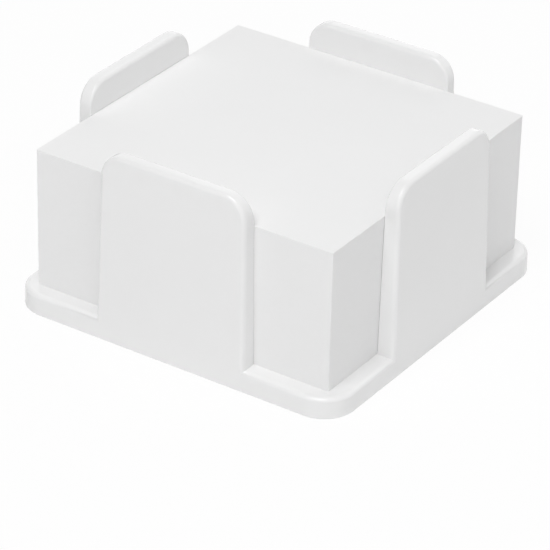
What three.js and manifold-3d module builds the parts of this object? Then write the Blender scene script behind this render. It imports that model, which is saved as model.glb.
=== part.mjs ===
// Note box: a white moulded holder with four upright walls round a pile of loose square note sheets.
// Millimetres, +Z up. The origin is the centre of the holder's underside, and the front wall faces -Y.
import * as THREE from 'three';
import { mergeVertices } from 'three/addons/utils/BufferGeometryUtils.js';
import Module from 'manifold-3d';

const wasm = await Module();
wasm.setup();

// Note sheets
const sheet_width = 90;
const sheet_thickness = 0.09;
const sheet_air = 0.01; // air under each loose sheet
const pile_height = 39.6; // all the sheets, with the air between them
const single_sheets = 6; // sheets on top of the pile that are made one by one

// Holder
const pocket_play = 0.5; // between the pile and each wall
const wall_thickness = 5; // at the foot, where the wall leaves the base
const wall_rise = 8.6; // wall top above the pile
const wall_width = 46; // at the foot
const wall_corner_radius = 6.5; // upper corners of a wall, seen from outside
const foot_radius = 2; // hollow corner between a wall's edge and the base
const base_thickness = 6;
const base_corner_radius = 8;
const edge_radius = 1.2; // rounding along every outer edge of the moulding
const draft_angle = THREE.MathUtils.degToRad(1.2); // outer faces lean in towards the top
const overrun = 0.05; // how far one shape of the moulding runs into another

// Share of the pocket's play that the pile has used up by turning, clockwise from above
const turn_share = 0.7;

// Steps in the rounded stretches
const corner_steps = 5;
const edge_steps = 3;

const pile_top = base_thickness + pile_height;
const wall_top = pile_top + wall_rise;
const pocket_half = sheet_width / 2 + pocket_play;
const draft = Math.tan(draft_angle);
const wall_thickness_at_top = wall_thickness - (wall_top - base_thickness) * draft;
const outer_half_at_top = pocket_half + wall_thickness_at_top;
const pile_turn = -Math.atan((pocket_play * turn_share) / (wall_width / 2));

const white_plastic = new THREE.MeshStandardMaterial({ color: 0xf2f2f2, roughness: 0.18, metalness: 0 });
const white_paper = new THREE.MeshStandardMaterial({ color: 0xebebea, roughness: 0.9, metalness: 0 });

function solidOf(geometry) {
  const bare = geometry.clone();
  bare.deleteAttribute('normal');
  bare.deleteAttribute('uv');
  const merged = mergeVertices(bare);
  return new wasm.Manifold(new wasm.Mesh({
    numProp: 3,
    vertProperties: new Float32Array(merged.attributes.position.array),
    triVerts: new Uint32Array(merged.index.array),
  }));
}

function geometryOf(solid) {
  const mesh = solid.getMesh();
  const geometry = new THREE.BufferGeometry();
  geometry.setAttribute('position', new THREE.BufferAttribute(mesh.vertProperties, mesh.numProp));
  geometry.setIndex(new THREE.BufferAttribute(mesh.triVerts, 1));
  return geometry;
}

// A flat outline made thick, with the moulding's rounding along both of its rims
function roundedSlab(shape, thickness) {
  const slab = new THREE.ExtrudeGeometry(shape, {
    depth: thickness - 2 * edge_radius,
    curveSegments: corner_steps,
    bevelThickness: edge_radius,
    bevelSize: edge_radius,
    bevelOffset: -edge_radius,
    bevelSegments: edge_steps,
  });
  slab.translate(0, 0, edge_radius);
  return slab;
}

// Base plate: a square with rounded corners
function basePlate() {
  const centre = outer_half_at_top - base_corner_radius;
  const outline = new THREE.Shape();
  outline.absarc(centre, centre, base_corner_radius, 0, Math.PI / 2);
  outline.absarc(-centre, centre, base_corner_radius, Math.PI / 2, Math.PI);
  outline.absarc(-centre, -centre, base_corner_radius, Math.PI, 1.5 * Math.PI);
  outline.absarc(centre, -centre, base_corner_radius, 1.5 * Math.PI, 2 * Math.PI);
  return roundedSlab(outline, base_thickness);
}

// A wall seen from outside: both edges lean in by the draft, the upper corners are round,
// and at the foot a hollow arc runs out into the base's upper face
function wallOutline() {
  const across = Math.cos(draft_angle);
  const up = Math.sin(draft_angle);
  const reach = across * (wall_width / 2) + up * base_thickness;
  const corner_z = wall_top - wall_corner_radius;
  const corner_x = (reach - wall_corner_radius - up * corner_z) / across;
  const foot_z = base_thickness - overrun + foot_radius;
  const foot_x = (reach + foot_radius - up * foot_z) / across;
  const root_z = edge_radius + overrun;
  const outline = new THREE.Shape();
  outline.moveTo(-foot_x, root_z);
  outline.lineTo(foot_x, root_z);
  outline.absarc(foot_x, foot_z, foot_radius, 1.5 * Math.PI, Math.PI + draft_angle, true);
  outline.absarc(corner_x, corner_z, wall_corner_radius, draft_angle, Math.PI / 2);
  outline.absarc(-corner_x, corner_z, wall_corner_radius, Math.PI / 2, Math.PI - draft_angle);
  outline.absarc(-foot_x, foot_z, foot_radius, -draft_angle, -Math.PI / 2, true);
  return outline;
}

// Front wall, standing on the base with its outer face flush with the base's side
function frontWall() {
  const wall = roundedSlab(wallOutline(), wall_thickness_at_top);
  wall.rotateX(Math.PI / 2);
  wall.translate(0, -pocket_half, 0);
  return wall;
}

// The outer faces lean: what lies outside the pocket moves out, the more the lower it is.
// Along a side it moves square to the side, and round a corner of the base away from the corner's centre.
function addDraft(geometry) {
  const position = geometry.attributes.position;
  const corner_centre = Math.min(outer_half_at_top - base_corner_radius, pocket_half);
  const low = new THREE.Vector2(-corner_centre, -corner_centre);
  const high = new THREE.Vector2(corner_centre, corner_centre);
  for (let index = 0; index < position.count; index += 1) {
    const point = new THREE.Vector2(position.getX(index), position.getY(index));
    const outward = point.clone().sub(point.clone().clamp(low, high));
    const beyond = outward.length() - (pocket_half - corner_centre);
    const lean = (wall_top - position.getZ(index)) * draft;
    outward.setLength(lean * (Math.max(0, beyond) / wall_thickness_at_top));
    point.add(outward);
    position.setXY(index, point.x, point.y);
  }
  return geometry;
}

function holder() {
  let body = solidOf(basePlate());
  for (let side = 0; side < 4; side += 1) {
    const wall = frontWall();
    wall.rotateZ((side * Math.PI) / 2);
    body = body.add(solidOf(wall));
  }
  const mesh = new THREE.Mesh(addDraft(geometryOf(body)), white_plastic);
  mesh.name = 'holder';
  return mesh;
}

function sheets(name, bottom, thickness) {
  const mesh = new THREE.Mesh(new THREE.BoxGeometry(sheet_width, sheet_width, thickness), white_paper);
  mesh.name = name;
  mesh.position.z = bottom + thickness / 2;
  return mesh;
}

// The pile lies on the base, and the topmost sheets are made one by one
function notePile() {
  const pile = new THREE.Group();
  const pitch = sheet_thickness + sheet_air;
  const lowest_single = pile_top - single_sheets * pitch;
  pile.add(sheets('note_pile', base_thickness + sheet_air, lowest_single - base_thickness - sheet_air));
  for (let count = 1; count <= single_sheets; count += 1) {
    const bottom = lowest_single + (count - 1) * pitch + sheet_air;
    pile.add(sheets(`note_sheet_${count}`, bottom, sheet_thickness));
  }
  pile.rotation.z = pile_turn;
  return pile;
}

const note_box = new THREE.Group();
note_box.add(holder());
note_box.add(notePile());

export default note_box;
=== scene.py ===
import math
import random

import bmesh
import bpy
from mathutils import Matrix, Vector


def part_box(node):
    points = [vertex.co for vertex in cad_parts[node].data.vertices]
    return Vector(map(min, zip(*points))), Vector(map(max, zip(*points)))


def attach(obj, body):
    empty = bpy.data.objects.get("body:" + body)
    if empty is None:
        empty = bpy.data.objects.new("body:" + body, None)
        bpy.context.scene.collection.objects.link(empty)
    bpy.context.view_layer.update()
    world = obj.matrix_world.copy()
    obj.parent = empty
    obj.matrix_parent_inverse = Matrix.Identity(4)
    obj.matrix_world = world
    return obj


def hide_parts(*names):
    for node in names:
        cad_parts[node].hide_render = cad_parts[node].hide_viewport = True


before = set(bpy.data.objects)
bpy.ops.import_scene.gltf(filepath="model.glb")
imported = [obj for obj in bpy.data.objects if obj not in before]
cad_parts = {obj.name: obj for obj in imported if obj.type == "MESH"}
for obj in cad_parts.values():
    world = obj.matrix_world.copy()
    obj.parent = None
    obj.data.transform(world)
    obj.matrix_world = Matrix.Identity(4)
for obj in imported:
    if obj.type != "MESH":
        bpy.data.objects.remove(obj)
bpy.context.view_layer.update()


# Holder: one moulding of glossy white plastic. A square base plate carries an upright wall in the middle
# of each side, and the walls' outer faces run down into the base's side without a seam. They lean in
# a little, so that the moulding leaves its mould, and every outer edge is rounded.
mm = 0.001
pocket_half = 45.5 * mm
base_thickness = 6 * mm
base_corner_radius = 8 * mm
wall_width = 46 * mm  # at the foot
wall_corner_radius = 6.5 * mm
foot_radius = 2 * mm
edge_radius = 1.2 * mm
side_edge_radius = 0.08 * mm  # down the walls' edges that face the pocket
lower_edge_radius = 0.4 * mm
draft = math.tan(math.radians(1.2))
corner_steps = 14
edge_steps = 6
rounding_error = 0.01 * mm
flat_angle = math.radians(0.5)  # faces that meet at less than this become one
sharp_angle = math.radians(45)  # edges that turn by more than this are sharp
smooth_angle = math.radians(40)
holder_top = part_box("holder")[1]
wall_top = holder_top.z
outer_half = holder_top.x - (wall_top - lower_edge_radius) * draft  # at the height of the wall tops
wall_thickness = outer_half - pocket_half  # at the same height
half_at_foot = wall_width / 2
half_at_top = half_at_foot - (wall_top - base_thickness) * draft
corner_centre = outer_half - base_corner_radius


def middle(part):
    """The mean place of an edge's or a face's corners."""
    return sum((vertex.co for vertex in part.verts), Vector()) / len(part.verts)


def pick(kind, wanted):
    """Selects, in edit mode, the edges or faces that pass the test, and nothing else."""
    bpy.ops.mesh.select_mode(type=kind)
    bpy.ops.mesh.select_all(action="DESELECT")
    shape = bmesh.from_edit_mesh(bpy.context.object.data)
    for part in shape.edges if kind == "EDGE" else shape.faces:
        if wanted(part):
            part.select_set(True)
    bmesh.update_edit_mesh(bpy.context.object.data)


def block(name, low, high):
    """A cube stretched from its low corner to its high one, in edit mode and ready to be shaped."""
    bpy.ops.object.select_all(action="DESELECT")
    bpy.ops.mesh.primitive_cube_add(size=1, location=(low + high) / 2, scale=high - low)
    bpy.ops.object.transform_apply()
    bpy.context.object.name = name
    bpy.ops.object.mode_set(mode="EDIT")
    return bpy.context.object


def round_edges(wanted, radius, steps):
    """Bevels, in edit mode, the edges that pass the test."""
    pick("EDGE", wanted)
    bpy.ops.mesh.bevel(offset=radius, offset_type="OFFSET", segments=steps, affect="EDGES")


def near(value, target):
    """Whether two lengths are the same but for a rounding error."""
    return abs(value - target) < rounding_error


def level(part, height):
    """Whether the whole of an edge or a face lies at this height."""
    return all(near(vertex.co.z, height) for vertex in part.verts)


def outward(place):
    """How far and which way a place lies, from above, outside the square of the corner centres."""
    return Vector([value - max(-corner_centre, min(corner_centre, value)) for value in place.xy])


def inside(edge, depth):
    """Whether an edge lies as deep as this inside the outer faces."""
    return all(near(base_corner_radius - outward(vertex.co).length, depth) for vertex in edge.verts)


def sharp(edge):
    """Whether an edge still wants its rounding."""
    return edge.calc_face_angle() > sharp_angle


# The base plate's upper face is cut along the walls' edges, and the walls grow out of it
holder = block(
    "holder_moulding",
    Vector((-outer_half, -outer_half, 0)),
    Vector((outer_half, outer_half, base_thickness)),
)
for direction in (Vector((1, 0, 0)), Vector((0, 1, 0))):
    for cut in (-pocket_half, -half_at_foot, half_at_foot, pocket_half):
        bpy.ops.mesh.select_all(action="SELECT")
        bpy.ops.mesh.bisect(plane_co=cut * direction, plane_no=direction)


def carries_wall(face):
    """Whether a face is one of the four that the walls stand on."""
    across, along = sorted(abs(value) for value in middle(face).xy)
    return level(face, base_thickness) and across < half_at_foot and along > pocket_half


pick("FACE", carries_wall)
bpy.ops.mesh.extrude_region_move(TRANSFORM_OT_translate={"value": (0, 0, wall_top - base_thickness)})

# The walls grow narrower towards the top
narrower = half_at_top / half_at_foot
pick("FACE", lambda face: level(face, wall_top) and abs(middle(face).y) > pocket_half)
bpy.ops.transform.resize(value=(narrower, 1, 1), center_override=(0, 0, 0))
pick("FACE", lambda face: level(face, wall_top) and abs(middle(face).x) > pocket_half)
bpy.ops.transform.resize(value=(1, narrower, 1), center_override=(0, 0, 0))
bpy.ops.mesh.select_all(action="SELECT")
bpy.ops.mesh.dissolve_limited(angle_limit=flat_angle)

# Rounded first: the base's upright corners and the walls' upper corners
round_edges(lambda edge: near(middle(edge).z, base_thickness / 2), base_corner_radius, corner_steps)
round_edges(
    lambda edge: level(edge, wall_top) and near(edge.calc_length(), wall_thickness),
    wall_corner_radius,
    corner_steps,
)

# The rims that face the pocket are round at the top and nearly sharp down the sides
shape = bmesh.from_edit_mesh(holder.data)
rounding = shape.edges.layers.float.new("bevel_weight_edge")
for edge in shape.edges:
    if inside(edge, wall_thickness) and not level(edge, base_thickness):
        height = 1 - (wall_top - middle(edge).z) / wall_corner_radius
        radius = side_edge_radius + (edge_radius - side_edge_radius) * max(0, height)
        edge[rounding] = radius / edge_radius
bpy.ops.object.mode_set(mode="OBJECT")
pocket_rims = holder.modifiers.new("pocket_rims", "BEVEL")
pocket_rims.limit_method = "WEIGHT"
pocket_rims.width = edge_radius
pocket_rims.segments = edge_steps
bpy.ops.object.modifier_apply(modifier=pocket_rims.name)

# Then the hollow foot of each wall's edge, which fades out towards the pocket, and the outer rims
bpy.ops.object.mode_set(mode="EDIT")
foot_length = wall_thickness - side_edge_radius
round_edges(
    lambda edge: level(edge, base_thickness) and near(edge.calc_length(), foot_length),
    foot_radius,
    edge_steps,
)
round_edges(lambda edge: inside(edge, 0) and sharp(edge) and not level(edge, 0), edge_radius, edge_steps)
round_edges(lambda edge: level(edge, 0) and sharp(edge), lower_edge_radius, edge_steps)
bpy.ops.object.mode_set(mode="OBJECT")

# The draft: what lies outside the pocket moves out, the more the lower it is
for vertex in holder.data.vertices:
    away = outward(vertex.co)
    beyond = away.length - (pocket_half - corner_centre)
    if beyond > 0:
        lean = (wall_top - vertex.co.z) * draft
        vertex.co.xy += away.normalized() * lean * (beyond / wall_thickness)
bpy.ops.object.shade_smooth_by_angle(angle=smooth_angle)
even_shading = holder.modifiers.new("even_shading", "WEIGHTED_NORMAL")
even_shading.keep_sharp = True
even_shading.weight = 100
bpy.ops.object.modifier_apply(modifier=even_shading.name)


class Wire:
    """An output of a material's nodes. Plus and times on it add Math nodes."""

    def __init__(self, tree, socket):
        self.tree = tree
        self.socket = socket

    def node(self, kind, settings, inputs, output=0):
        """Adds a node of this type, sets it up, links or fills its sockets, and gives its output."""
        made = self.tree.nodes.new(kind)
        for name, value in settings.items():
            setattr(made, name, value)
        for name, value in inputs.items():
            if isinstance(value, Wire):
                self.tree.links.new(value.socket, made.inputs[name])
            else:
                made.inputs[name].default_value = value
        return Wire(self.tree, made.outputs[output])

    def __add__(self, other):
        return self.node("ShaderNodeMath", {"operation": "ADD"}, {0: self, 1: other})

    def __mul__(self, other):
        return self.node("ShaderNodeMath", {"operation": "MULTIPLY"}, {0: self, 1: other})

    __radd__ = __add__
    __rmul__ = __mul__

    def noise(self, width, detail=2.0):
        """Cloudy noise that reads this place, with features about this wide."""
        inputs = {"Vector": self, "Scale": 1 / width, "Detail": detail}
        return self.node("ShaderNodeTexNoise", {}, inputs, "Fac")

    def squeezed(self, x, y, z):
        """This place scaled along the three axes, so that a noise on it grows as much finer there."""
        inputs = {"Vector": self, "Scale": (x, y, z)}
        return self.node("ShaderNodeMapping", {}, inputs, "Vector")

    def tint(self, colour):
        """The colour where this value is 1, darker where it is less, and black where it is 0."""
        black = (0, 0, 0, 1)
        first_colour, second_colour, mixed_colour = 6, 7, 2  # where a Mix node has its colour sockets
        inputs = {"Factor": self, first_colour: black, second_colour: colour}
        return self.node("ShaderNodeMix", {"data_type": "RGBA"}, inputs, mixed_colour)

    def bump(self, strength, depth):
        """This value as the height of a fine relief."""
        inputs = {"Height": self, "Strength": strength, "Distance": depth}
        return self.node("ShaderNodeBump", {}, inputs, "Normal")


def material(name):
    """A new material with its Principled shader, and the place on the piece as a wire."""
    made = bpy.data.materials.new(name)
    made.use_nodes = True
    tree = made.node_tree
    place = Wire(tree, tree.nodes.new("ShaderNodeTexCoord").outputs["Object"])
    return made, tree.nodes["Principled BSDF"], place


def surface(shader, place, values):
    """Gives the shader its values: plain ones to its own sockets, and wires as links."""
    for name, value in values.items():
        if isinstance(value, Wire):
            place.tree.links.new(value.socket, shader.inputs[name])
        else:
            shader.inputs[name].default_value = value


# Glossy plastic: a faint unevenness from the mould, and gloss that varies a little from handling
plastic_white = (0.865, 0.865, 0.865, 1)
plastic, shader, place = material("white_plastic")
cloud = place.noise(width=26 * mm, detail=3)
peel = place.noise(width=2.4 * mm, detail=1)
grain = place.noise(width=0.2 * mm)
relief = peel * 0.9 + grain * 0.1
surface(shader, place, {
    "Base Color": (0.985 + cloud * 0.03).tint(plastic_white),
    "Roughness": 0.08 + cloud * 0.06 + grain * 0.03,
    "Normal": relief.bump(strength=0.35, depth=0.03 * mm),
    "IOR": 1.5,
})
holder.data.materials.append(plastic)
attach(holder, "holder")
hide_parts("holder")


# Note pile: about 390 loose sheets of 80 gram paper below the top ones, cut square in one go, so that
# their edges make the smooth white sides. They fill the pocket but for a hair's breadth, and lie in
# small lots, each as little aside from the next.
sheet_half = pocket_half - 0.04 * mm
sheet_pitch = 0.1 * mm
sheet_thickness = 0.09 * mm
sheet_corner_radius = 0.3 * mm
sheet_corner_steps = 3
pile_low, pile_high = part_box("note_pile")
sheet_count = round((pile_high.z - pile_low.z) / sheet_pitch)
lot_shift = 0.02 * mm
sheet_shift = 0.01 * mm
lot_size = 17
seed = 11
drawn = random.Random(seed)


def sheet(name, half, low, high):
    """One sheet of paper from its lower to its upper face, with corners worn a little round."""
    made = block(name, Vector((-half, -half, low)), Vector((half, half, high)))
    round_edges(lambda edge: near(edge.calc_length(), high - low), sheet_corner_radius, sheet_corner_steps)
    bpy.ops.object.mode_set(mode="OBJECT")
    return made


def aside(most):
    """A small shift to some side, of at most this much in x and in y."""
    return Vector((drawn.uniform(-most, most), drawn.uniform(-most, most), 0))


pile = sheet("note_pile_sheets", sheet_half - lot_shift - sheet_shift, 0, sheet_thickness)
pile_shape = bmesh.new()
for count in range(sheet_count):
    if count % lot_size == 0:
        lot = aside(lot_shift)
    first = len(pile_shape.verts)
    pile_shape.from_mesh(pile.data)
    pile_shape.verts.ensure_lookup_table()
    rise = Vector((0, 0, pile_low.z + count * sheet_pitch))
    bmesh.ops.translate(pile_shape, vec=lot + aside(sheet_shift) + rise, verts=pile_shape.verts[first:])
pile_shape.to_mesh(pile.data)
pile_shape.free()

# Paper: matt and white, with a faint cloud of fibres, and on the pile's sides the lines of its layers
paper_white = (0.91, 0.91, 0.91, 1)
paper, shader, place = material("note_paper")
fibres = place.noise(width=1.1 * mm, detail=4)
cloud = place.noise(width=17 * mm)
layers = place.squeezed(1, 1, 170).noise(width=40 * mm, detail=3)
surface(shader, place, {
    "Base Color": (0.97 + fibres * 0.015 + cloud * 0.015 + layers * 0.012).tint(paper_white),
    "Roughness": 0.82 + fibres * 0.1,
    "Normal": fibres.bump(strength=0.3, depth=0.02 * mm),
    "Specular IOR Level": 0.3,
})
pile.data.materials.append(paper)
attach(pile, "pile")
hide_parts("note_pile")


# Top sheets: the six uppermost sheets of the pile, each a piece of its own that can be lifted off.
# They are the same paper, and lie as loose as the rest. One is modelled, and each piece is a copy.
top_sheet_count = 6
model = sheet("top_sheet", sheet_half - sheet_shift, 0, sheet_thickness)
model.data.materials.append(paper)
for count in range(1, top_sheet_count + 1):
    node = f"note_sheet_{count}"
    name = f"{node}_paper"
    piece = bpy.data.objects.new(name, model.data.copy())
    bpy.context.scene.collection.objects.link(piece)
    rise = Vector((0, 0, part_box(node)[0].z))
    piece.data.transform(Matrix.Translation(aside(sheet_shift) + rise))
    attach(piece, f"sheet_{count}")
    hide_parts(node)
bpy.data.objects.remove(model)


# Studio: a white floor without an end and a white room all round, which show as plain white to the
# camera and in reflections, and keep a faint shadow round the box. One soft lamp high in front gives
# most of the light, and four large low ones fill in. The camera stands in front and to the right.
floor_half = 6
floor_gap = 0.02 * mm
floor_white = (0.93, 0.93, 0.93, 1)
floor_glow = 0.93  # how far the floor shows as plain white in place of what falls on it
room_light = 0.26
floor_roughness = 0.9
lamp_distance = 1.5


def in_sight(tree):
    """One for what is seen directly, mirrored or through glass, and nought for the light it sends on."""
    rays = tree.nodes.new("ShaderNodeLightPath").outputs
    return (
        Wire(tree, rays["Is Camera Ray"])
        + Wire(tree, rays["Is Glossy Ray"])
        + Wire(tree, rays["Is Transmission Ray"])
    )


bpy.ops.object.select_all(action="DESELECT")
bpy.ops.mesh.primitive_plane_add(size=2 * floor_half, location=(0, 0, -floor_gap))
floor = bpy.context.object
floor.name = "studio_floor"
floor_paint, shader, place = material("studio_floor")
surface(shader, place, {"Base Color": floor_white, "Roughness": floor_roughness, "Specular IOR Level": 0.0})
tree = place.tree
paint = Wire(tree, shader.outputs["BSDF"])
glow = place.node("ShaderNodeEmission", {}, {"Strength": 1.0}, "Emission")
shares = {"Fac": in_sight(tree) * floor_glow, 1: paint, 2: glow}
shown = place.node("ShaderNodeMixShader", {}, shares, "Shader")
tree.links.new(shown.socket, tree.nodes["Material Output"].inputs["Surface"])
floor.data.materials.append(floor_paint)

world = bpy.data.worlds.new("studio")
bpy.context.scene.world = world
world.use_nodes = True
strength = room_light + in_sight(world.node_tree) * (1 - room_light)
background = world.node_tree.nodes["Background"]
background.inputs["Color"].default_value = (1, 1, 1, 1)
world.node_tree.links.new(strength.socket, background.inputs["Strength"])


def lamp(name, turn, rise, size, power):
    """A square soft lamp that looks at the box. It is turned to the right of the front and raised, in
    degrees, and its power is in watts."""
    light = bpy.data.lights.new(name, "AREA")
    light.size = size
    light.energy = power
    made = bpy.data.objects.new(name, light)
    bpy.context.scene.collection.objects.link(made)
    made.matrix_world = (
        Matrix.Rotation(math.radians(turn), 4, "Z")
        @ Matrix.Rotation(math.radians(90 - rise), 4, "X")
        @ Matrix.Translation((0, 0, lamp_distance))
    )


lamp("key", turn=8, rise=61, size=0.75, power=11.4)
lamp("front_right", turn=45, rise=25, size=1.8, power=5.5)
lamp("back_right", turn=135, rise=25, size=1.8, power=3.4)
lamp("back", turn=180, rise=25, size=1.8, power=4.2)
lamp("back_left", turn=-135, rise=25, size=1.8, power=4.6)

# The camera's place, turn and focal length, as fitted to the edges of the box in the photograph
view_turn = math.radians(33.4)
view_rise = math.radians(30.0)
view_roll = math.radians(1.42)
view_distance = 914.6 * mm
view_aim = (1.02 * mm, -2.51 * mm)  # how far the origin lies right of and above the view's middle
picture_width = 550  # in pixels
focal_length = 3440  # in pixels too
film_width = 36  # in millimetres
bpy.ops.object.camera_add()
camera = bpy.context.object
camera.data.sensor_width = film_width
camera.data.lens = focal_length / picture_width * film_width
camera.matrix_world = (
    Matrix.Rotation(view_turn, 4, "Z")
    @ Matrix.Rotation(math.pi / 2 - view_rise, 4, "X")
    @ Matrix.Rotation(view_roll, 4, "Z")
    @ Matrix.Translation((-view_aim[0], -view_aim[1], view_distance))
)
bpy.context.scene.camera = camera
bpy.context.scene.view_settings.view_transform = "Standard"
